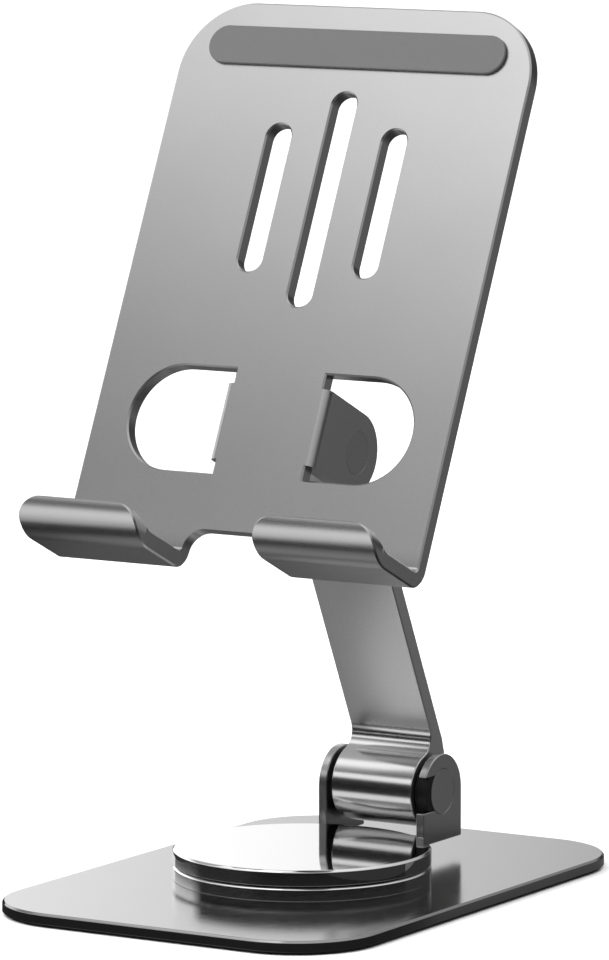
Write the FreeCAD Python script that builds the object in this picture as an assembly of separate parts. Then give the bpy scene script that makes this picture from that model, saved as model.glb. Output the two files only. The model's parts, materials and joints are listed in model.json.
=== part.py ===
import FreeCAD, Part
import math
import os

# A foldable metal phone stand: a flat base, a disc that turns on it, an arm hinged to the disc
# and a holder plate hinged to the arm. Millimetres. The origin is the centre of the base's
# underside, +Z is up and the phone faces -Y.

V = FreeCAD.Vector
X_AXIS = V(1, 0, 0)
Z_AXIS = V(0, 0, 1)

# ---- base and turntable, from the floor up ----
BASE_WIDTH = 76.0
BASE_DEPTH = 112.0
BASE_CORNER = 16.5
MAT_THICK = 0.6
MAT_INSET = 0.8
BASE_THICK = 2.0
DISC_R = 23.8
DISC_Y = -2.3                     # the swivel axis stands a little in front of the base's centre
LOWER_DISC_THICK = 2.5
DISC_GAP = 0.3                    # shadow groove between the fixed and the turning disc
UPPER_DISC_THICK = 2.9
EDGE_BREAK = 0.4                  # chamfer on the visible edges of the plates and discs

BASE_TOP = MAT_THICK + BASE_THICK
LOWER_DISC_TOP = BASE_TOP + LOWER_DISC_THICK
UPPER_DISC_Z = LOWER_DISC_TOP + DISC_GAP
UPPER_DISC_TOP = UPPER_DISC_Z + UPPER_DISC_THICK

# ---- swivel joint under the disc ----
STUD_R = 4.0
STUD_FLANGE_R = 6.0
STUD_FLANGE_THICK = 0.8
STUD_THREAD_R = 3.0
STUD_FOOT_Z = 0.9
PIVOT_NUT_FLATS = 10.0
PIVOT_NUT_TOP = 1.95
BASE_BORE_R = 8.6
BUSH_R = 5.6
SLIP_RING_R = (18.6, 21.4)
SLIP_RING_Z = (4.5, 5.3)
LOWER_SCREW_CIRCLE_R = 14.0
LOWER_SCREW_R = 1.25
LOWER_SCREW_HEAD_R = 2.5
LOWER_SCREW_COVER = 0.8           # metal left above the screws' tips
BRACKET_SCREW_X = 8.0
BRACKET_SCREW_Y = (-11.0, 12.0)
BRACKET_SCREW_R = 1.0
BRACKET_SCREW_HEAD_R = 2.2
BRACKET_SCREW_REACH = 0.9         # how far the bracket's screws go into the disc
PIVOT_SPRING_R = 7.6
RUNNING_FIT = 0.05                # radial clearance of every turning fit

# ---- hinge bracket: a web under the disc and two ears behind it ----
EAR_GAP = 19.5
EAR_THICK = 1.7
EAR_R = 7.0
WEB_THICK = 1.5
WEB_FRONT_Y = -15.0
WEB_BACK_Y = 25.0
LOWER_AXIS = V(0, 29.4, 14.8)     # the arm's hinge axis, parallel to X
PIN_HEAD_R = 4.2
KEY_SLOT_HALF = 3.3               # half-height of the slot that keys the washer in the right ear
KEY_WASHER_THICK = 1.0            # the washers between the ears and the lower barrel
KEY_WASHER_R = 5.8
KEY_LUG_INSET = 0.15              # the lug stands back from the ear's outer face
KEY_LUG_PLAY = 0.1

# ---- arm, in its own frame: the lower axis is the origin and z runs along the flat strip ----
ARM_LEAN = 26.0                   # degrees forward of upright
ARM_WIDTH = 17.3
ARM_THICK = 3.2
ARM_FACE_Y = 5.0                  # the strip's front face lies this far behind the lower axis
BARREL_R = 7.0
BARREL_FILLET = 3.3
HEAD_R = 6.3                      # the barrel at the arm's upper end
ARM_HEEL_Z = 6.0                  # where the strip's back face turns in to the barrel
UPPER_AXIS_Z = 73.6               # from the lower axis, measured along the strip
ARM_NECK_Z = 59.0                 # above this the arm is narrow enough to pass between the tabs
ARM_NECK_SLOPE = 2.5
BUSH_WALL = 0.9
SPRING_POCKET_R = 5.3
SPRING_POCKET_DEPTH = 2.4
SPRING_COUNT = 3
SPRING_PLAY = 0.1

# ---- holder plate, in its own frame: the upper axis is the origin and z runs up the plate ----
PLATE_LEAN = 25.2                 # degrees back from upright
PLATE_WIDTH = 75.0
SHEET = 3.0
SHEET_EDGE_BREAK = 0.3            # chamfer round the sheet's outline and openings
PLATE_FRONT_Y = -14.0
PLATE_TOP_Z = 81.2
PLATE_CORNER = 14.0
SHELF_Z = -28.4                   # underside of the hooks' shelf
LIP_Y = -31.8                     # front of the hooks' lips
LIP_TOP_Z = -22.0
HEEL_BEND = 4.0                   # outer radius where the plate turns forward
LIP_BEND = 7.0                    # outer radius where the shelf turns up
LIP_CORNER = 4.5
NOTCH_HALF = 12.0                 # cable notch between the two hooks
NOTCH_TOP_Z = -20.7
NOTCH_CORNER = 4.0
SLOT_WIDTH = 5.2
SLOT_PITCH = 12.3
SIDE_SLOT_Z = (28.8, 57.6)
MID_SLOT_Z = (22.6, 64.3)
WINDOW_X = (9.5, 29.9)            # D-shaped window: flat inner edge and far side
WINDOW_HALF = 10.1
TAB_OUTER_X = 11.0
TAB_R = 7.3
TAB_WASHER_THICK = 0.5            # the washers between the tabs and the upper barrel
TAB_WASHER_R = 5.8
TAB_PIN_R = 2.5
PIN_SINK_R = 4.0
HOLDER_NUT_FLATS = 8.0
HOLDER_NUT_HEIGHT = 3.0
PIN_TAIL = 0.6                    # how far the pin stands out of its nut
PAD_THICK = 0.8
TOP_PAD = (63.0, 7.4)
TOP_PAD_Z = 72.6
HOOK_PAD_X = (17.0, 32.5)
HOOK_PAD_DEPTH = 8.0
HOOK_PAD_BACK = 1.5               # from the plate's face to the pad
HOOK_PAD_CORNER = 2.0

PLATE_BACK_Y = PLATE_FRONT_Y + SHEET
EAR_INNER_X = EAR_GAP / 2
EAR_OUTER_X = EAR_INNER_X + EAR_THICK
TAB_INNER_X = TAB_OUTER_X - SHEET
LOWER_PIN_R = 3.0
UPPER_AXIS_ARM = V(0, ARM_FACE_Y + ARM_THICK - HEAD_R, UPPER_AXIS_Z)


# ---- general helpers ----
def yz_face(points):
    """A face in the YZ plane from (y, z) corners."""
    corners = [V(0, y, z) for y, z in points]
    return Part.Face(Part.makePolygon(corners + corners[:1]))


def slab(face, half_width):
    """Extrude a YZ face symmetrically about x = 0."""
    solid = face.extrude(V(2 * half_width, 0, 0))
    solid.translate(V(-half_width, 0, 0))
    return solid


def x_cylinder(radius, x_low, x_high, y=0.0, z=0.0):
    return Part.makeCylinder(radius, x_high - x_low, V(x_low, y, z), X_AXIS)


def z_cylinder(radius, z_low, z_high, x=0.0, y=0.0):
    return Part.makeCylinder(radius, z_high - z_low, V(x, y, z_low), Z_AXIS)


def x_ring(outer_r, inner_r, x_low, x_high):
    return x_cylinder(outer_r, x_low, x_high).cut(x_cylinder(inner_r, x_low - 1, x_high + 1))


def z_ring(outer_r, inner_r, z_low, z_high):
    return z_cylinder(outer_r, z_low, z_high).cut(z_cylinder(inner_r, z_low - 1, z_high + 1))


def box(x, y, z):
    """A box from three (low, high) pairs."""
    return Part.makeBox(x[1] - x[0], y[1] - y[0], z[1] - z[0], V(x[0], y[0], z[0]))


def rounded_plate(width, depth, corner, z_low, z_high):
    """A horizontal rounded rectangle centred on the origin."""
    plate = box((-width / 2, width / 2), (-depth / 2, depth / 2), (z_low, z_high))
    upright = [e for e in plate.Edges if abs(e.tangentAt(e.FirstParameter).z) > 0.9]
    return plate.makeFillet(corner, upright)


def edges_at_z(shape, z):
    return [e for e in shape.Edges if abs(e.BoundBox.ZMin - z) < 1e-6 and abs(e.BoundBox.ZMax - z) < 1e-6]


def pill(x_centre, z_low, z_high, width, y_low, y_high):
    """An upright slot shape with round ends, standing through the plate."""
    r = width / 2
    body = box((x_centre - r, x_centre + r), (y_low, y_high), (z_low + r, z_high - r))
    for z in (z_low + r, z_high - r):
        body = body.fuse(Part.makeCylinder(r, y_high - y_low, V(x_centre, y_low, z), V(0, 1, 0)))
    return body.removeSplitter()


def mirror_x(shape):
    return shape.mirror(V(0, 0, 0), X_AXIS)


def hex_nut(across_flats, length, bore_r, direction):
    """A hexagon nut standing on the origin along a direction."""
    r = across_flats / math.sqrt(3)
    turns = [math.radians(60 * k) for k in range(7)]
    corners = [V(r * math.cos(a), r * math.sin(a), 0) for a in turns]
    nut = Part.Face(Part.makePolygon(corners)).extrude(V(0, 0, length))
    nut = nut.cut(Part.makeCylinder(bore_r, length))
    nut.Placement = FreeCAD.Placement(V(0, 0, 0), FreeCAD.Rotation(Z_AXIS, direction))
    return nut


def about_lower_axis(shape):
    """From the lower hinge's frame to the stand's frame, with the axes parallel."""
    shape.translate(LOWER_AXIS)
    return shape


def in_arm(shape):
    """From the arm's frame to the stand's frame."""
    shape.rotate(V(0, 0, 0), X_AXIS, ARM_LEAN)
    shape.translate(LOWER_AXIS)
    return shape


UPPER_AXIS = FreeCAD.Rotation(X_AXIS, ARM_LEAN).multVec(UPPER_AXIS_ARM) + LOWER_AXIS


def in_holder(shape):
    """From the holder's frame to the stand's frame."""
    shape.rotate(V(0, 0, 0), X_AXIS, -PLATE_LEAN)
    shape.translate(UPPER_AXIS)
    return shape


def on_swivel(shape):
    shape.translate(V(0, DISC_Y, 0))
    return shape


def around(radius, count, start_deg):
    """Points on a circle about the swivel axis, as (x, y)."""
    turns = [math.radians(start_deg + 360.0 * k / count) for k in range(count)]
    return [(radius * math.cos(a), radius * math.sin(a)) for a in turns]


# ---- base ----
def base_mat():
    return rounded_plate(BASE_WIDTH - 2 * MAT_INSET, BASE_DEPTH - 2 * MAT_INSET,
                         BASE_CORNER - MAT_INSET, 0, MAT_THICK)


LOWER_SCREWS = around(LOWER_SCREW_CIRCLE_R, 4, 45)


def countersunk_screw(x, y, z_low, z_high, head_r, shank_r):
    """A flat-head screw that points up, with its head's face at z_low."""
    head = Part.makeCone(head_r, shank_r, head_r - shank_r, V(x, y, z_low), Z_AXIS)
    return head.fuse(z_cylinder(shank_r, z_low, z_high, x, y)).removeSplitter()


def lower_disc_screw(x, y):
    tip = LOWER_DISC_TOP - LOWER_SCREW_COVER
    return countersunk_screw(x, y, MAT_THICK, tip, LOWER_SCREW_HEAD_R, LOWER_SCREW_R)


def base_plate():
    plate = rounded_plate(BASE_WIDTH, BASE_DEPTH, BASE_CORNER, MAT_THICK, BASE_TOP)
    plate = plate.makeChamfer(EDGE_BREAK, edges_at_z(plate, BASE_TOP))
    plate = plate.cut(on_swivel(z_cylinder(BASE_BORE_R, 0, BASE_TOP + 1)))
    for x, y in LOWER_SCREWS:
        plate = plate.cut(on_swivel(lower_disc_screw(x, y)))
    return plate


def lower_disc():
    disc = z_cylinder(DISC_R, BASE_TOP, LOWER_DISC_TOP)
    disc = disc.makeChamfer(EDGE_BREAK, edges_at_z(disc, LOWER_DISC_TOP))
    disc = disc.cut(z_cylinder(BUSH_R, 0, LOWER_DISC_TOP + 1))
    disc = disc.cut(z_ring(SLIP_RING_R[1], SLIP_RING_R[0], SLIP_RING_Z[0], LOWER_DISC_TOP + 1))
    for x, y in LOWER_SCREWS:
        disc = disc.cut(lower_disc_screw(x, y))
    return on_swivel(disc)


def lower_disc_screws():
    return Part.makeCompound([on_swivel(lower_disc_screw(x, y)) for x, y in LOWER_SCREWS])


def pivot_bush():
    return on_swivel(z_ring(BUSH_R, STUD_R + RUNNING_FIT, BASE_TOP, LOWER_DISC_TOP))


def slip_ring():
    return on_swivel(z_ring(SLIP_RING_R[1], SLIP_RING_R[0], *SLIP_RING_Z))


# ---- turntable ----
WEB_TOP = UPPER_DISC_Z + WEB_THICK


def bracket_screw(x, y):
    """A flat-head screw up through the web into the disc."""
    tip = WEB_TOP + BRACKET_SCREW_REACH
    return countersunk_screw(x, y, UPPER_DISC_Z, tip, BRACKET_SCREW_HEAD_R, BRACKET_SCREW_R)


BRACKET_SCREWS = [(side * BRACKET_SCREW_X, y) for side in (-1, 1) for y in BRACKET_SCREW_Y]


def web_block(z_high):
    return box((-EAR_OUTER_X, EAR_OUTER_X), (WEB_FRONT_Y, WEB_BACK_Y), (UPPER_DISC_Z, z_high))


def turntable_disc():
    disc = on_swivel(z_cylinder(DISC_R, UPPER_DISC_Z, UPPER_DISC_TOP))
    disc = disc.makeChamfer(EDGE_BREAK, edges_at_z(disc, UPPER_DISC_TOP))
    disc = disc.cut(web_block(WEB_TOP))
    for x, y in BRACKET_SCREWS:
        disc = disc.cut(bracket_screw(x, y))
    return disc


def ear_outline():
    """One ear seen from the side: straight front and back, round top about the hinge axis."""
    foot = UPPER_DISC_Z - LOWER_AXIS.z
    block = yz_face([(-EAR_R, foot), (EAR_R, foot), (EAR_R, 0), (-EAR_R, 0)])
    ear = block.extrude(V(EAR_THICK, 0, 0)).fuse(x_cylinder(EAR_R, 0, EAR_THICK))
    return ear.removeSplitter()


def hinge_bracket():
    web = web_block(WEB_TOP)
    web = web.cut(on_swivel(z_cylinder(STUD_R, 0, WEB_TOP)))
    web = web.cut(on_swivel(z_cylinder(STUD_FLANGE_R, WEB_TOP - STUD_FLANGE_THICK, WEB_TOP)))
    for x, y in BRACKET_SCREWS:
        web = web.cut(bracket_screw(x, y))
    right = ear_outline()
    right.translate(V(EAR_INNER_X, 0, 0))
    left = mirror_x(right)
    right = right.cut(x_cylinder(PIN_HEAD_R, EAR_INNER_X, EAR_OUTER_X))
    right = right.cut(box((EAR_INNER_X, EAR_OUTER_X), (-EAR_R - 1, 0), (-KEY_SLOT_HALF, KEY_SLOT_HALF)))
    left = left.cut(x_cylinder(LOWER_PIN_R, -EAR_OUTER_X, -EAR_INNER_X))
    ears = about_lower_axis(right.fuse(left))
    return web.fuse(ears).removeSplitter()


def bracket_screws():
    return Part.makeCompound([bracket_screw(x, y) for x, y in BRACKET_SCREWS])


def pivot_stud():
    stud = z_cylinder(STUD_FLANGE_R, WEB_TOP - STUD_FLANGE_THICK, WEB_TOP)
    stud = stud.fuse(z_cylinder(STUD_R, BASE_TOP, WEB_TOP))
    stud = stud.fuse(z_cylinder(STUD_THREAD_R, STUD_FOOT_Z, WEB_TOP))
    return on_swivel(stud.removeSplitter())


def pivot_spring_washer():
    """A shallow disc spring between the nut and the lower disc."""
    rise, thick, play = 0.15, 0.4, 0.2
    bore_r, low = STUD_THREAD_R + play, PIVOT_NUT_TOP
    section = [(bore_r, low + rise), (PIVOT_SPRING_R, low),
               (PIVOT_SPRING_R, low + thick), (bore_r, low + thick + rise)]
    return on_swivel(yz_face(section).revolve(V(0, 0, 0), Z_AXIS, 360))


def pivot_nut():
    nut = hex_nut(PIVOT_NUT_FLATS, PIVOT_NUT_TOP - STUD_FOOT_Z, STUD_THREAD_R, Z_AXIS)
    nut.translate(V(0, 0, STUD_FOOT_Z))
    return on_swivel(nut)


# ---- lower hinge ----
def arm_pin():
    """A smooth pin whose head is flush with the right ear and whose end is flush with the left."""
    pin = x_cylinder(LOWER_PIN_R, -EAR_OUTER_X, EAR_OUTER_X)
    return about_lower_axis(pin.fuse(x_cylinder(PIN_HEAD_R, EAR_INNER_X, EAR_OUTER_X)).removeSplitter())


def key_washer():
    """The friction washer at the right ear, with a lug that fills the ear's slot."""
    disc = x_cylinder(KEY_WASHER_R, EAR_INNER_X - KEY_WASHER_THICK, EAR_INNER_X)
    lug = x_cylinder(KEY_WASHER_R, EAR_INNER_X, EAR_OUTER_X - KEY_LUG_INSET)
    reach = KEY_SLOT_HALF - KEY_LUG_PLAY
    lug = lug.common(box((EAR_INNER_X, EAR_OUTER_X), (-EAR_R, 0), (-reach, reach)))
    lug = lug.cut(x_cylinder(PIN_HEAD_R, EAR_INNER_X, EAR_OUTER_X))
    washer = disc.cut(x_cylinder(LOWER_PIN_R, 0, EAR_OUTER_X)).fuse(lug).removeSplitter()
    return about_lower_axis(washer)


def plain_washer():
    ring = x_ring(KEY_WASHER_R, LOWER_PIN_R, -EAR_INNER_X, KEY_WASHER_THICK - EAR_INNER_X)
    return about_lower_axis(ring)


def disc_spring_stack(x_start, count, bore_r, rim_r):
    """Cupped spring washers nested in a row along X."""
    rise, thick, pitch = 0.25, 0.35, 0.65
    springs = []
    for k in range(count):
        x = x_start + pitch * k
        section = [V(x, bore_r, 0), V(x + thick, bore_r, 0),
                   V(x + thick + rise, rim_r, 0), V(x + rise, rim_r, 0)]
        face = Part.Face(Part.makePolygon(section + section[:1]))
        springs.append(face.revolve(V(0, 0, 0), X_AXIS, 360))
    return Part.makeCompound(springs)


def lower_disc_springs():
    start = KEY_WASHER_THICK - EAR_INNER_X + SPRING_PLAY
    bore_r, rim_r = LOWER_PIN_R + SPRING_PLAY, SPRING_POCKET_R - 2 * SPRING_PLAY
    stack = disc_spring_stack(start, SPRING_COUNT, bore_r, rim_r)
    return about_lower_axis(stack)


# ---- arm ----
def arm_outline():
    """The arm's section: two barrels joined by the flat strip, with a hollow front fillet."""
    back_y = ARM_FACE_Y + ARM_THICK
    top = UPPER_AXIS_ARM
    fillet_y = ARM_FACE_Y - BARREL_FILLET
    fillet_z = math.sqrt((BARREL_R + BARREL_FILLET) ** 2 - fillet_y ** 2)
    throat = BARREL_R / (BARREL_R + BARREL_FILLET)
    strip = yz_face([(ARM_FACE_Y, fillet_z), (back_y, fillet_z), (back_y, top.z), (ARM_FACE_Y, top.z)])
    root = yz_face([(fillet_y * throat, fillet_z * throat), (fillet_y, fillet_z), (ARM_FACE_Y, fillet_z),
                    (back_y, fillet_z), (back_y, ARM_HEEL_Z), heel_touch(back_y), (0, 0)])
    half = ARM_WIDTH / 2
    body = slab(strip, half).fuse(slab(root, half))
    body = body.cut(x_cylinder(BARREL_FILLET, -half, half, fillet_y, fillet_z))
    body = body.fuse(x_cylinder(BARREL_R, -half, half))
    body = body.fuse(x_cylinder(HEAD_R, -half, half, top.y, top.z))
    return body.removeSplitter()


def heel_touch(back_y):
    """Where the line from the strip's heel touches the back of the lower barrel."""
    reach = math.hypot(back_y, ARM_HEEL_Z)
    angle = math.atan2(ARM_HEEL_Z, back_y) - math.acos(BARREL_R / reach)
    return (BARREL_R * math.cos(angle), BARREL_R * math.sin(angle))


UPPER_BARREL_HALF = TAB_INNER_X - TAB_WASHER_THICK - RUNNING_FIT


def neck_cut():
    """What is cut from each side of the arm so that its head fits between the holder's tabs."""
    half = ARM_WIDTH / 2 + 1
    low, high, top = ARM_NECK_Z - ARM_NECK_SLOPE, ARM_NECK_Z, UPPER_AXIS_Z + 10
    corners = [(half, low - 1), (ARM_WIDTH / 2, low), (UPPER_BARREL_HALF, high), (UPPER_BARREL_HALF, top),
               (half, top)]
    wire = [V(x, -10, z) for x, z in corners]
    right = Part.Face(Part.makePolygon(wire + wire[:1])).extrude(V(0, 30, 0))
    return right.fuse(mirror_x(right))


def arm():
    body = arm_outline().cut(neck_cut())
    ends = ARM_WIDTH / 2
    body = body.cut(x_cylinder(LOWER_PIN_R + BUSH_WALL, -ends, ends))
    body = body.cut(x_cylinder(SPRING_POCKET_R, -ends, SPRING_POCKET_DEPTH - ends))
    top = UPPER_AXIS_ARM
    body = body.cut(x_cylinder(TAB_PIN_R + BUSH_WALL, -ends, ends, top.y, top.z))
    return in_arm(body)


def lower_bush():
    left = SPRING_POCKET_DEPTH - ARM_WIDTH / 2
    return in_arm(x_ring(LOWER_PIN_R + BUSH_WALL, LOWER_PIN_R + RUNNING_FIT, left, ARM_WIDTH / 2))


def upper_bush():
    ring = x_ring(TAB_PIN_R + BUSH_WALL, TAB_PIN_R + RUNNING_FIT, -UPPER_BARREL_HALF, UPPER_BARREL_HALF)
    ring.translate(UPPER_AXIS_ARM)
    return in_arm(ring)


# ---- holder ----
def holder_section():
    """The bent sheet seen from the side: upright plate, shelf and curled lip."""
    half_turn = math.sqrt(0.5)
    heel = V(0, PLATE_BACK_Y - HEEL_BEND, SHELF_Z + HEEL_BEND)
    curl = V(0, LIP_Y + LIP_BEND, SHELF_Z + LIP_BEND)

    def arc(centre, radius, start, middle, end):
        points = [centre + V(0, radius * y, radius * z) for y, z in (start, middle, end)]
        return Part.Arc(*points).toShape()

    def line(y1, z1, y2, z2):
        return Part.makeLine(V(0, y1, z1), V(0, y2, z2))

    def lip_end(radius):
        """Where a curl of this radius reaches the lip's top edge, from the curl's centre."""
        rise = (LIP_TOP_Z - curl.z) / radius
        return (-math.sqrt(1 - rise ** 2), rise)

    down, back = (0, -1), (1, 0)
    low_back, low_front = (half_turn, -half_turn), (-half_turn, -half_turn)
    heel_in, curl_in = HEEL_BEND - SHEET, LIP_BEND - SHEET
    lip_front, lip_back = lip_end(LIP_BEND), lip_end(curl_in)
    edges = [line(PLATE_FRONT_Y, PLATE_TOP_Z, PLATE_BACK_Y, PLATE_TOP_Z),
             line(PLATE_BACK_Y, PLATE_TOP_Z, PLATE_BACK_Y, heel.z),
             arc(heel, HEEL_BEND, back, low_back, down),
             line(heel.y, SHELF_Z, curl.y, SHELF_Z),
             arc(curl, LIP_BEND, down, low_front, lip_front),
             line(curl.y + LIP_BEND * lip_front[0], LIP_TOP_Z, curl.y + curl_in * lip_back[0], LIP_TOP_Z),
             arc(curl, curl_in, lip_back, low_front, down),
             line(curl.y, SHELF_Z + SHEET, heel.y, SHELF_Z + SHEET),
             arc(heel, heel_in, down, low_back, back),
             line(PLATE_FRONT_Y, heel.z, PLATE_FRONT_Y, PLATE_TOP_Z)]
    return Part.Face(Part.Wire(edges))


def window():
    """A D-shaped window through the plate on the right-hand side."""
    low, high = PLATE_FRONT_Y - 1, PLATE_BACK_Y + 1
    centre_x = WINDOW_X[1] - WINDOW_HALF
    flat = box((WINDOW_X[0], centre_x), (low, high), (-WINDOW_HALF, WINDOW_HALF))
    return flat.fuse(Part.makeCylinder(WINDOW_HALF, high - low, V(centre_x, low, 0), V(0, 1, 0)))


def hinge_tab():
    """The tab that was cut from the right-hand window and bent straight back."""
    reach = yz_face([(PLATE_FRONT_Y, -TAB_R), (0, -TAB_R), (0, TAB_R), (PLATE_FRONT_Y, TAB_R)])
    tab = reach.extrude(V(SHEET, 0, 0)).fuse(x_cylinder(TAB_R, 0, SHEET))
    tab.translate(V(TAB_INNER_X, 0, 0))
    tab = tab.removeSplitter()
    fold = [e for e in tab.Edges if abs(e.BoundBox.YMax - PLATE_FRONT_Y) < 1e-6
            and abs(e.BoundBox.XMin - TAB_OUTER_X) < 1e-6]
    return tab.makeFillet(TAB_OUTER_X - WINDOW_X[0], fold)


def lip_corner_cut(x_edge, side):
    """The waste outside one rounded corner of a lip; side is +1 for a right-hand corner."""
    r = LIP_CORNER
    x_centre = x_edge - side * r
    x_range = sorted((x_centre, x_edge + side))
    waste = box(x_range, (LIP_Y - 1, LIP_Y + SHEET + 2), (LIP_TOP_Z - r, LIP_TOP_Z + 1))
    return waste.cut(Part.makeCylinder(r, 12, V(x_centre, LIP_Y - 2, LIP_TOP_Z - r), V(0, 1, 0)))


def break_edges(sheet):
    """Chamfer the flat plate's outline and openings, front and back, but not the cable notch."""
    flat_foot = SHELF_Z + HEEL_BEND

    def on_face(e, y):
        return e.BoundBox.YLength < 1e-5 and abs(e.BoundBox.YMin - y) < 1e-5

    rim = [e for e in sheet.Edges if on_face(e, PLATE_FRONT_Y) or on_face(e, PLATE_BACK_Y)]
    clear_of_notch = [e for e in rim if e.BoundBox.ZMax > NOTCH_TOP_Z + 1 and e.BoundBox.ZMin > flat_foot - 1]
    return sheet.makeChamfer(SHEET_EDGE_BREAK, clear_of_notch)


def holder_plate():
    half = PLATE_WIDTH / 2
    sheet = slab(holder_section(), half)
    corners = [e for e in sheet.Edges if abs(e.BoundBox.ZMin - PLATE_TOP_Z) < 1e-6
               and e.BoundBox.XLength < 1e-6]
    sheet = sheet.makeFillet(PLATE_CORNER, corners)
    notch = box((-NOTCH_HALF, NOTCH_HALF), (LIP_Y - 1, PLATE_BACK_Y + 1), (SHELF_Z - 1, NOTCH_TOP_Z))
    top_corners = [e for e in notch.Edges if abs(e.BoundBox.ZMin - NOTCH_TOP_Z) < 1e-6
                   and e.BoundBox.YLength > 1]
    sheet = sheet.cut(notch.makeFillet(NOTCH_CORNER, top_corners))
    before_plate = (LIP_Y - 1, PLATE_FRONT_Y)
    sheet = sheet.cut(box((-NOTCH_HALF, NOTCH_HALF), before_plate, (SHELF_Z - 1, LIP_TOP_Z + 1)))
    for x_centre, span in ((-SLOT_PITCH, SIDE_SLOT_Z), (0, MID_SLOT_Z), (SLOT_PITCH, SIDE_SLOT_Z)):
        sheet = sheet.cut(pill(x_centre, *span, SLOT_WIDTH, PLATE_FRONT_Y - 1, PLATE_BACK_Y + 1))
    for x_edge, side in ((half, 1), (NOTCH_HALF, -1), (-NOTCH_HALF, 1), (-half, -1)):
        sheet = sheet.cut(lip_corner_cut(x_edge, side))
    sheet = break_edges(sheet.cut(window()).cut(mirror_x(window())))
    sheet = sheet.fuse(hinge_tab()).fuse(mirror_x(hinge_tab())).removeSplitter()
    sheet = sheet.cut(x_cylinder(TAB_PIN_R, -TAB_OUTER_X, TAB_OUTER_X))
    sheet = sheet.cut(pin_sink())
    return in_holder(sheet)


def pin_sink():
    """The countersink for the pin's flat head in the right tab."""
    depth = PIN_SINK_R - TAB_PIN_R
    return Part.makeCone(TAB_PIN_R, PIN_SINK_R, depth, V(TAB_OUTER_X - depth, 0, 0), X_AXIS)


def top_pad():
    width, height = TOP_PAD
    pad = pill(0, -width / 2, width / 2, height, PLATE_FRONT_Y - PAD_THICK, PLATE_FRONT_Y)
    pad.rotate(V(0, 0, 0), V(0, 1, 0), 90)
    pad.translate(V(0, 0, TOP_PAD_Z))
    return in_holder(pad)


def hook_pads():
    low_y = PLATE_FRONT_Y - HOOK_PAD_BACK - HOOK_PAD_DEPTH
    floor_z = SHELF_Z + SHEET
    right = box(HOOK_PAD_X, (low_y, low_y + HOOK_PAD_DEPTH), (floor_z, floor_z + PAD_THICK))
    upright = [e for e in right.Edges if e.BoundBox.ZLength > PAD_THICK / 2]
    right = right.makeFillet(HOOK_PAD_CORNER, upright)
    return Part.makeCompound([in_holder(mirror_x(right)), in_holder(right)])


# ---- upper hinge ----
def holder_pin():
    """A flat-head bolt, flush in the right tab and nutted outside the left one."""
    pin = x_cylinder(TAB_PIN_R, -TAB_OUTER_X - HOLDER_NUT_HEIGHT - PIN_TAIL, TAB_OUTER_X)
    return in_holder(pin.fuse(pin_sink()).removeSplitter())


def holder_nut():
    nut = hex_nut(HOLDER_NUT_FLATS, HOLDER_NUT_HEIGHT, TAB_PIN_R, V(-1, 0, 0))
    nut.translate(V(-TAB_OUTER_X, 0, 0))
    return in_holder(nut)


def upper_washers():
    right = x_ring(TAB_WASHER_R, TAB_PIN_R, TAB_INNER_X - TAB_WASHER_THICK, TAB_INNER_X)
    return Part.makeCompound([in_holder(mirror_x(right)), in_holder(right)])


NODES = {
    "base_plate": base_plate,
    "base_mat": base_mat,
    "lower_disc": lower_disc,
    "lower_disc_screws": lower_disc_screws,
    "pivot_bush": pivot_bush,
    "slip_ring": slip_ring,
    "turntable_disc": turntable_disc,
    "hinge_bracket": hinge_bracket,
    "bracket_screws": bracket_screws,
    "pivot_stud": pivot_stud,
    "pivot_spring_washer": pivot_spring_washer,
    "pivot_nut": pivot_nut,
    "arm_pin": arm_pin,
    "key_washer": key_washer,
    "plain_washer": plain_washer,
    "lower_disc_springs": lower_disc_springs,
    "arm": arm,
    "lower_bush": lower_bush,
    "upper_bush": upper_bush,
    "holder_plate": holder_plate,
    "top_pad": top_pad,
    "hook_pads": hook_pads,
    "holder_pin": holder_pin,
    "holder_nut": holder_nut,
    "upper_washers": upper_washers,
}

os.makedirs("parts", exist_ok=True)
for name, make in NODES.items():
    shape = make()
    if not shape.isValid() or any(solid.Volume <= 0 for solid in shape.Solids):
        raise ValueError(name + " is not a valid solid")
    shape.exportStep("parts/" + name + ".step")
    print(name, len(shape.Solids), "solid(s)", round(shape.Volume, 1), "mm3")
print("lower axis", tuple(LOWER_AXIS), "upper axis", tuple(UPPER_AXIS))
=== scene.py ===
"""The looks of a foldable metal phone stand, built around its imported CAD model. Metres."""
import json
import math

import bpy
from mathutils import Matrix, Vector

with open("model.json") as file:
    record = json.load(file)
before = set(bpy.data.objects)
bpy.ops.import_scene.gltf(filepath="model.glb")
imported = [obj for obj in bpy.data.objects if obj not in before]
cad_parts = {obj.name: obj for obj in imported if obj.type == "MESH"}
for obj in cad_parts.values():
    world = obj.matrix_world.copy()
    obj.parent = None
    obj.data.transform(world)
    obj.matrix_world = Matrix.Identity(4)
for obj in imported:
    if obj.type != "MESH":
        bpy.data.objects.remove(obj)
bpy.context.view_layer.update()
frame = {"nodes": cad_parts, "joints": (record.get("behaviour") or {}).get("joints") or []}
NODES = frame["nodes"]
JOINT_AT = {joint["name"]: Vector(joint["pos_m"]) for joint in frame["joints"]}

MM = 0.001

# ---- camera ----
CAMERA_AT = Vector((0.63577, -1.04616, 0.23829))
CAMERA_LOOKS = Vector((-0.51534, 0.84684, -0.13147))
CAMERA_LENS = 253.56
CAMERA_SENSOR = 36.0
CAMERA_REACH = 100.0


def aim(thing, way):
    """Turn a camera or a light, which look down their own -Z, towards a direction."""
    thing.rotation_mode = "QUATERNION"
    thing.rotation_quaternion = way.to_track_quat("-Z", "Y")


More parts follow.
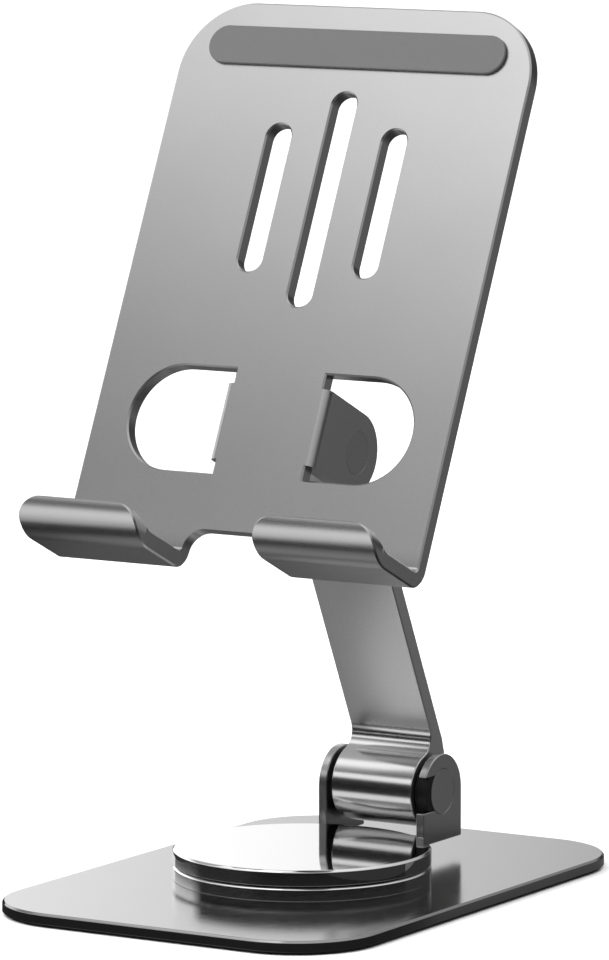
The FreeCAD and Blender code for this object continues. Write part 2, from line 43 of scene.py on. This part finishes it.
def make_camera():
    data = bpy.data.cameras.new("camera")
    data.lens = CAMERA_LENS
    data.sensor_width = CAMERA_SENSOR
    data.clip_end = CAMERA_REACH
    camera = bpy.data.objects.new("camera", data)
    camera.location = CAMERA_AT
    aim(camera, CAMERA_LOOKS)
    bpy.context.collection.objects.link(camera)
    bpy.context.scene.camera = camera


# ---- node helpers ----
MIX_FACTOR, MIX_FIRST, MIX_SECOND = 0, 6, 7      # a Mix node's sockets when it mixes colours
MIX_COLOUR = 2                                   # and its output


def grey(value):
    return (value, value, value, 1)


class Tree:
    """A small wrapper that adds shader nodes and links them in one call."""

    def __init__(self, owner):
        owner.use_nodes = True
        self.tree = owner.node_tree
        self.tree.nodes.clear()

    def add(self, kind, settings=None, **inputs):
        node = self.tree.nodes.new(kind)
        for name, value in (settings or {}).items():
            setattr(node, name, value)
        for name, value in inputs.items():
            self.feed(node.inputs[name.replace("_", " ")], value)
        return node

    def feed(self, socket, value):
        """Link another node's output to a socket, or set the socket to a plain value."""
        if isinstance(value, bpy.types.NodeSocket):
            self.tree.links.new(value, socket)
        else:
            socket.default_value = value

    def math(self, operation, first, second=0.0):
        node = self.add("ShaderNodeMath", {"operation": operation})
        self.feed(node.inputs[0], first)
        self.feed(node.inputs[1], second)
        return node.outputs[0]

    def remap(self, value, low, high, to_low=0.0, to_high=1.0):
        node = self.add("ShaderNodeMapRange", Value=value, From_Min=low, From_Max=high,
                        To_Min=to_low, To_Max=to_high)
        return node.outputs["Result"]

    def ramp(self, factor, stops):
        """A grey ramp from (position, value) pairs, with values up to 1."""
        node = self.add("ShaderNodeValToRGB", Fac=factor)
        elements = node.color_ramp.elements
        while len(elements) > 1:
            elements.remove(elements[-1])
        elements[0].position = stops[0][0]
        elements[0].color = grey(stops[0][1])
        for position, value in stops[1:]:
            elements.new(position).color = grey(value)
        return node.outputs["Color"]

    def blend(self, share, first, second):
        node = self.add("ShaderNodeMix", {"data_type": "RGBA"})
        for index, value in ((MIX_FACTOR, share), (MIX_FIRST, first), (MIX_SECOND, second)):
            self.feed(node.inputs[index], value)
        return node.outputs[MIX_COLOUR]

    def noise(self, coords, scale, detail):
        return self.add("ShaderNodeTexNoise", Vector=coords, Scale=scale, Detail=detail).outputs["Fac"]

    def split(self, vector):
        return self.add("ShaderNodeSeparateXYZ", Vector=vector).outputs

    def radius(self, coords, axis_at, across):
        """The distance from an axis through axis_at; across names the two directions square to it."""
        place = self.split(coords)
        squares = []
        for letter in across:
            offset = self.math("SUBTRACT", place[letter], getattr(axis_at, letter.lower()))
            squares.append(self.math("MULTIPLY", offset, offset))
        return self.math("SQRT", self.math("ADD", *squares))

    def emit(self, colour, strength):
        glow = self.add("ShaderNodeEmission", Color=colour, Strength=strength)
        self.add("ShaderNodeOutputMaterial", Surface=glow.outputs[0])


# ---- light ----
# Each side of the studio is (elevation in degrees, brightness) from straight down to straight up,
# and each sector is (azimuth in degrees from +Y towards +X, share of that side).
SKY_PEAK = 1.6                                   # the brightest the studio gets
BACK_LEFT = [(-90, 0.3), (-52, 0.32), (-44, 0.2), (-36, 0.09), (-1, 0.09), (1, 1.45), (26, 1.45),
             (34, 0.45), (60, 0.5), (90, 1.1)]
FRONT_LEFT = [(-90, 0.3), (-45, 0.35), (-25, 1.0), (-12, 1.3), (-1, 1.35), (1, 0.02), (17, 0.02),
              (20, 1.2), (50, 1.4), (65, 1.5), (90, 1.1)]
DARK_SIDE = [(-90, 0.05), (-35, 0.05), (-20, 0.12), (-12, 0.1), (-8.5, 0.22), (-3, 0.2), (3, 0.04),
             (15, 0.05), (23, 0.45), (38, 0.65), (60, 0.9), (90, 1.1)]
FRONT_SECTOR = [(-180, 1), (-110, 1), (-95, 0), (180, 0)]
DARK_SECTOR = [(-180, 1), (-172, 0.9), (-160, 0), (-34.5, 0), (-33.4, 0.06), (-32.2, 0.21),
               (-29.6, 0.38), (-29, 0.5), (-25, 0.75), (-8, 1), (180, 1)]


def make_world():
    """A studio that is open and bright on the left and closed by dark flats on the right and in front."""
    world = bpy.data.worlds.new("studio")
    bpy.context.scene.world = world
    t = Tree(world)
    way = t.split(t.add("ShaderNodeTexCoord").outputs["Generated"])
    elevation = t.remap(t.math("ARCSINE", way["Z"]), -math.pi / 2, math.pi / 2)
    azimuth = t.remap(t.math("ARCTAN2", way["X"], way["Y"]), -math.pi, math.pi)

    def side(stops):
        return t.ramp(elevation, [((degrees + 90) / 180, value / SKY_PEAK) for degrees, value in stops])

    def sector(stops):
        return t.ramp(azimuth, [((degrees + 180) / 360, share) for degrees, share in stops])

    sky = t.blend(sector(FRONT_SECTOR), side(BACK_LEFT), side(FRONT_LEFT))
    sky = t.blend(sector(DARK_SECTOR), sky, side(DARK_SIDE))
    background = t.add("ShaderNodeBackground", Color=sky, Strength=SKY_PEAK)
    t.add("ShaderNodeOutputWorld", Surface=background.outputs[0])


def staged(name, vertices, faces):
    """A piece of the studio, which is not part of the stand. Returns it and its material's tree."""
    mesh = bpy.data.meshes.new(name)
    mesh.from_pydata(vertices, [], faces)
    piece = bpy.data.objects.new(name, mesh)
    bpy.context.collection.objects.link(piece)
    material = bpy.data.materials.new(name)
    mesh.materials.append(material)
    return piece, Tree(material)


def mirrored_only(name, vertices, faces):
    """A flat or curved screen that only shows in the metal's reflections."""
    screen, tree = staged(name, vertices, faces)
    screen.visible_camera = False
    screen.visible_diffuse = False
    screen.visible_shadow = False
    return tree


FLAG_R = 0.105
FLAG_Z = (-0.045, 0.02)
FLAG_AZIMUTH = (55, 290)                         # degrees from +Y towards +X
FLAG_STEPS = 54
FLAG_FADE_Z = (-0.004, 0.0)
FLAG_GLOW = (0.035, 0.01)                        # below and above that fade


def make_flag():
    """A low black screen round the front of the stand. It keeps the discs' sides dark."""
    start, end = FLAG_AZIMUTH
    turns = [math.radians(start + (end - start) * k / FLAG_STEPS) for k in range(FLAG_STEPS + 1)]
    ring = [(FLAG_R * math.sin(turn), FLAG_R * math.cos(turn)) for turn in turns]
    vertices = [(x, y, z) for x, y in ring for z in FLAG_Z]
    faces = [(2 * k, 2 * k + 2, 2 * k + 3, 2 * k + 1) for k in range(FLAG_STEPS)]
    t = mirrored_only("flag", vertices, faces)
    place = t.split(t.add("ShaderNodeNewGeometry").outputs["Position"])
    t.emit(grey(1), t.remap(place["Z"], *FLAG_FADE_Z, *FLAG_GLOW))


PLATE_MIDDLE = Vector((0, -0.002, 0.113))
CARD_WAY = Vector((-0.515, -0.641, 0.569))       # where the holder plate's face mirrors the camera's view
CARD_UP = Vector((0.129, 0.599, 0.791))
CARD_DISTANCE = 0.28
CARD_U = (-0.15, 0.15)
CARD_V = (-0.085, 0.15)
CARD_RISE = [(0.0, 0.18), (0.11, 0.22), (0.36, 0.64), (0.62, 1.45), (1.0, 1.6)]
CARD_ACROSS = (0.76, 1.34)                       # its left and right edges, as shares of the brightness


def make_card():
    """The graded screen in the holder plate's reflection: bright above and dim below."""
    way = CARD_WAY.normalized()
    up = CARD_UP.normalized()
    across = up.cross(way)
    middle = PLATE_MIDDLE + CARD_DISTANCE * way
    corners = [middle + u * across + v * up for v in CARD_V for u in CARD_U]
    t = mirrored_only("card", corners, [(0, 1, 3, 2)])
    place = t.add("ShaderNodeNewGeometry").outputs["Position"]

    def along(direction, low, high):
        dot = t.add("ShaderNodeVectorMath", {"operation": "DOT_PRODUCT"})
        t.feed(dot.inputs[0], place)
        t.feed(dot.inputs[1], direction)
        start = middle.dot(direction)
        return t.remap(dot.outputs["Value"], start + low, start + high)

    rise = t.ramp(along(up, *CARD_V), [(position, value / SKY_PEAK) for position, value in CARD_RISE])
    share = t.remap(along(across, *CARD_U), 0, 1, *CARD_ACROSS)
    t.emit(rise, t.math("MULTIPLY", share, SKY_PEAK))


SOFTBOX_AIM = Vector((0, 0, 0.08))
SOFTBOXES = {
    "key": {"at": Vector((-0.5, -0.6, 1.1)), "size": 0.9, "watts": 10},
    "overhead": {"at": Vector((0, 1.5, 6)), "size": 10, "watts": 420},
}


def make_softbox(name, at, size, watts):
    """A large soft light aimed at the middle of the stand; metals don't mirror it."""
    data = bpy.data.lights.new(name, "AREA")
    data.size = size
    data.energy = watts
    light = bpy.data.objects.new(name, data)
    light.location = at
    aim(light, SOFTBOX_AIM - at)
    light.visible_glossy = False
    bpy.context.collection.objects.link(light)


FLOOR_HALF = 15.0
FLOOR_GREY = 0.92
FLOOR_ROUGHNESS = 0.9


def make_floor():
    """The plain pale table."""
    h = FLOOR_HALF
    floor, t = staged("floor", [(-h, -h, 0), (h, -h, 0), (h, h, 0), (-h, h, 0)], [(0, 1, 2, 3)])
    floor.visible_glossy = False
    shader = t.add("ShaderNodeBsdfPrincipled", Base_Color=grey(FLOOR_GREY), Roughness=FLOOR_ROUGHNESS)
    t.add("ShaderNodeOutputMaterial", Surface=shader.outputs[0])


# ---- materials ----
NOISE_SPREAD = (0.3, 0.7)                        # where nearly all of a noise texture's values lie
RUBBER_SPECULAR = 0.35
RUBBER_MOTTLE = 0.1                              # how far its grain moves its colour, as a share
RUBBER_ROUGHNESS_SPREAD = 0.06
POLISH_FADE = (11.5 * MM, 11.2 * MM)             # the arm is polished within this of its lower pin
POLISH_SIDE_FADE = (0.7, 0.5)                    # and only where its surface doesn't face along that pin
POLISH_ROUGHNESS = 0.18


class Surface(Tree):
    """A material with a Principled shader, whose colour, roughness and relief follow patterns."""

    def __init__(self, name, metallic=1.0):
        self.material = bpy.data.materials.new(name)
        super().__init__(self.material)
        self.shader = self.add("ShaderNodeBsdfPrincipled", Metallic=metallic)
        self.add("ShaderNodeOutputMaterial", Surface=self.shader.outputs[0])
        self.coords = self.add("ShaderNodeTexCoord").outputs

    def pattern(self, scale, detail):
        """A noise that is fixed to the piece, about scale grains to the metre."""
        return self.noise(self.coords["Object"], scale, detail)

    def tint(self, pattern, low, high):
        self.feed(self.shader.inputs["Base Color"], self.blend(pattern, low, high))

    def roughness_of(self, pattern, low, high):
        return self.remap(pattern, *NOISE_SPREAD, low, high)

    def roughen(self, pattern, low, high):
        self.feed(self.shader.inputs["Roughness"], self.roughness_of(pattern, low, high))

    def relieve(self, pattern, strength, depth):
        bump = self.add("ShaderNodeBump", Height=pattern, Strength=strength, Distance=depth)
        self.feed(self.shader.inputs["Normal"], bump.outputs["Normal"])


def satin_metal(name):
    """Bead-blasted, grey anodised metal: a fine grain, faint clouding and no scratches."""
    s = Surface(name)
    grain = s.pattern(scale=7000, detail=2)
    s.tint(s.pattern(scale=60, detail=2), low=grey(0.48), high=grey(0.52))
    s.roughen(grain, low=0.27, high=0.33)
    s.relieve(grain, strength=0.12, depth=0.02 * MM)
    return s.material


def arm_metal(name):
    """The holder's satin, painted paler as a painted highlight for the stronger light on the arm, but
    polished bright on the lower barrel and the hollow fillet above it.
    """
    s = Surface(name)
    grain = s.pattern(scale=7000, detail=2)
    # painted light: the tint sits about a third above the holder's satin to stand in for the light
    # falling on the arm
    s.tint(s.pattern(scale=60, detail=2), low=grey(0.6336), high=grey(0.6864))
    away = s.radius(s.coords["Object"], JOINT_AT["arm_fold"], "YZ")
    sideways = s.math("ABSOLUTE", s.split(s.coords["Normal"])["X"])
    polished = s.math("MULTIPLY", s.remap(away, *POLISH_FADE), s.remap(sideways, *POLISH_SIDE_FADE))
    satin = s.roughness_of(grain, low=0.27, high=0.33)
    s.feed(s.shader.inputs["Roughness"], s.remap(polished, 0, 1, satin, POLISH_ROUGHNESS))
    s.relieve(grain, strength=0.05, depth=0.01 * MM)
    return s.material


def mirror_metal(name):
    """Mirror-polished steel with the faintest turned rings about the swivel axis."""
    s = Surface(name)
    away = s.radius(s.coords["Object"], JOINT_AT["turntable_spin"], "XY")
    rings = s.noise(s.add("ShaderNodeCombineXYZ", X=away).outputs[0], scale=9000, detail=2)
    s.tint(rings, low=grey(0.77), high=grey(0.83))
    s.roughen(rings, low=0.03, high=0.06)
    s.relieve(rings, strength=0.02, depth=0.005 * MM)
    return s.material


def gloss_metal(name):
    """Plated steel, glossier than the holder, with a soft haze."""
    s = Surface(name)
    haze = s.pattern(scale=400, detail=4)
    s.tint(haze, low=grey(0.31), high=grey(0.34))
    s.roughen(haze, low=0.13, high=0.16)
    s.relieve(s.pattern(scale=5000, detail=2), strength=0.04, depth=0.01 * MM)
    return s.material


def pin_metal(name):
    """Turned steel with a fine grain."""
    s = Surface(name)
    grain = s.pattern(scale=4000, detail=3)
    s.tint(grain, low=grey(0.44), high=grey(0.5))
    s.roughen(grain, low=0.25, high=0.36)
    s.relieve(grain, strength=0.08, depth=0.01 * MM)
    return s.material


def bronze(name):
    """Sintered bronze with its open pores."""
    s = Surface(name)
    pores = s.pattern(scale=3500, detail=4)
    s.tint(pores, low=(0.42, 0.27, 0.12, 1), high=(0.60, 0.42, 0.20, 1))
    s.roughen(pores, low=0.35, high=0.5)
    s.relieve(pores, strength=0.2, depth=0.03 * MM)
    return s.material


def rubber(name, base, roughness):
    """Moulded rubber, silicone or plastic with a fine matt grain."""
    s = Surface(name, metallic=0.0)
    grain = s.pattern(scale=2500, detail=3)
    s.tint(grain, low=grey(base * (1 - RUBBER_MOTTLE)), high=grey(base * (1 + RUBBER_MOTTLE)))
    s.roughen(grain, low=roughness - RUBBER_ROUGHNESS_SPREAD, high=roughness + RUBBER_ROUGHNESS_SPREAD)
    s.relieve(grain, strength=0.2, depth=0.04 * MM)
    s.shader.inputs["Specular IOR Level"].default_value = RUBBER_SPECULAR
    return s.material


# ---- what each node is made of, and how far its edges are broken (mm; None keeps the CAD's own) ----
LOOKS = [
    (satin_metal("satin_metal"), {"holder_plate": None, "hinge_bracket": 0.25, "arm_pin": 0.03}),
    (arm_metal("arm_metal"), {"arm": 0.25}),
    (mirror_metal("mirror_metal"), {"lower_disc": 0.08, "turntable_disc": 0.08}),
    (gloss_metal("gloss_metal"), {"base_plate": 0.08}),
    (rubber("silicone", base=0.13, roughness=0.6), {"top_pad": 0.2, "hook_pads": 0.2}),
    (rubber("mat_rubber", base=0.02, roughness=0.75), {"base_mat": 0.1}),
    (rubber("black_polymer", base=0.005, roughness=0.5),
     {"key_washer": 0.06, "plain_washer": 0.06, "upper_washers": 0.06, "slip_ring": 0.06}),
    (pin_metal("pin_steel"),
     {"holder_pin": 0.08, "holder_nut": 0.15, "pivot_stud": 0.08, "pivot_nut": 0.15,
      "pivot_spring_washer": 0.05, "lower_disc_springs": 0.04,
      "lower_disc_screws": 0.05, "bracket_screws": 0.05}),
    (bronze("bronze"), {"pivot_bush": 0.06, "lower_bush": 0.06, "upper_bush": 0.06}),
]

WELD_REACH = 0.001 * MM
FLAT_ANGLE = math.radians(0.3)                   # facets that turn less than this become one face
EDGE_ANGLE = math.radians(32)                    # edges that turn more than this are broken
EDGE_SEGMENTS = 3
CREASE_ANGLE = math.radians(30)                  # the CAD's own edges above this stay crisp
FACE_WEIGHT = 80                                 # how strongly large faces hold the shading flat


def soften(piece, width):
    """Break a CAD piece's sharp edges, and shade its flat and round faces cleanly."""
    weld = piece.modifiers.new("weld", "WELD")
    weld.merge_threshold = WELD_REACH
    flat = piece.modifiers.new("flat", "DECIMATE")
    flat.decimate_type = "DISSOLVE"
    flat.angle_limit = FLAT_ANGLE
    if width:
        edge = piece.modifiers.new("edge", "BEVEL")
        edge.width = width * MM
        edge.segments = EDGE_SEGMENTS
        edge.limit_method = "ANGLE"
        edge.angle_limit = EDGE_ANGLE
        edge.use_clamp_overlap = False
    else:
        crease = piece.modifiers.new("crease", "EDGE_SPLIT")
        crease.split_angle = CREASE_ANGLE
    shade = piece.modifiers.new("shade", "WEIGHTED_NORMAL")
    shade.weight = FACE_WEIGHT
    for polygon in piece.data.polygons:
        polygon.use_smooth = True


def dress():
    for material, widths in LOOKS:
        for name, width in widths.items():
            piece = NODES[name]
            for slot in piece.material_slots:
                slot.material = material
            soften(piece, width)


make_camera()
make_world()
make_flag()
make_card()
for softbox, settings in SOFTBOXES.items():
    make_softbox(softbox, **settings)
make_floor()
dress()
bpy.context.scene.view_settings.view_transform = "Standard"
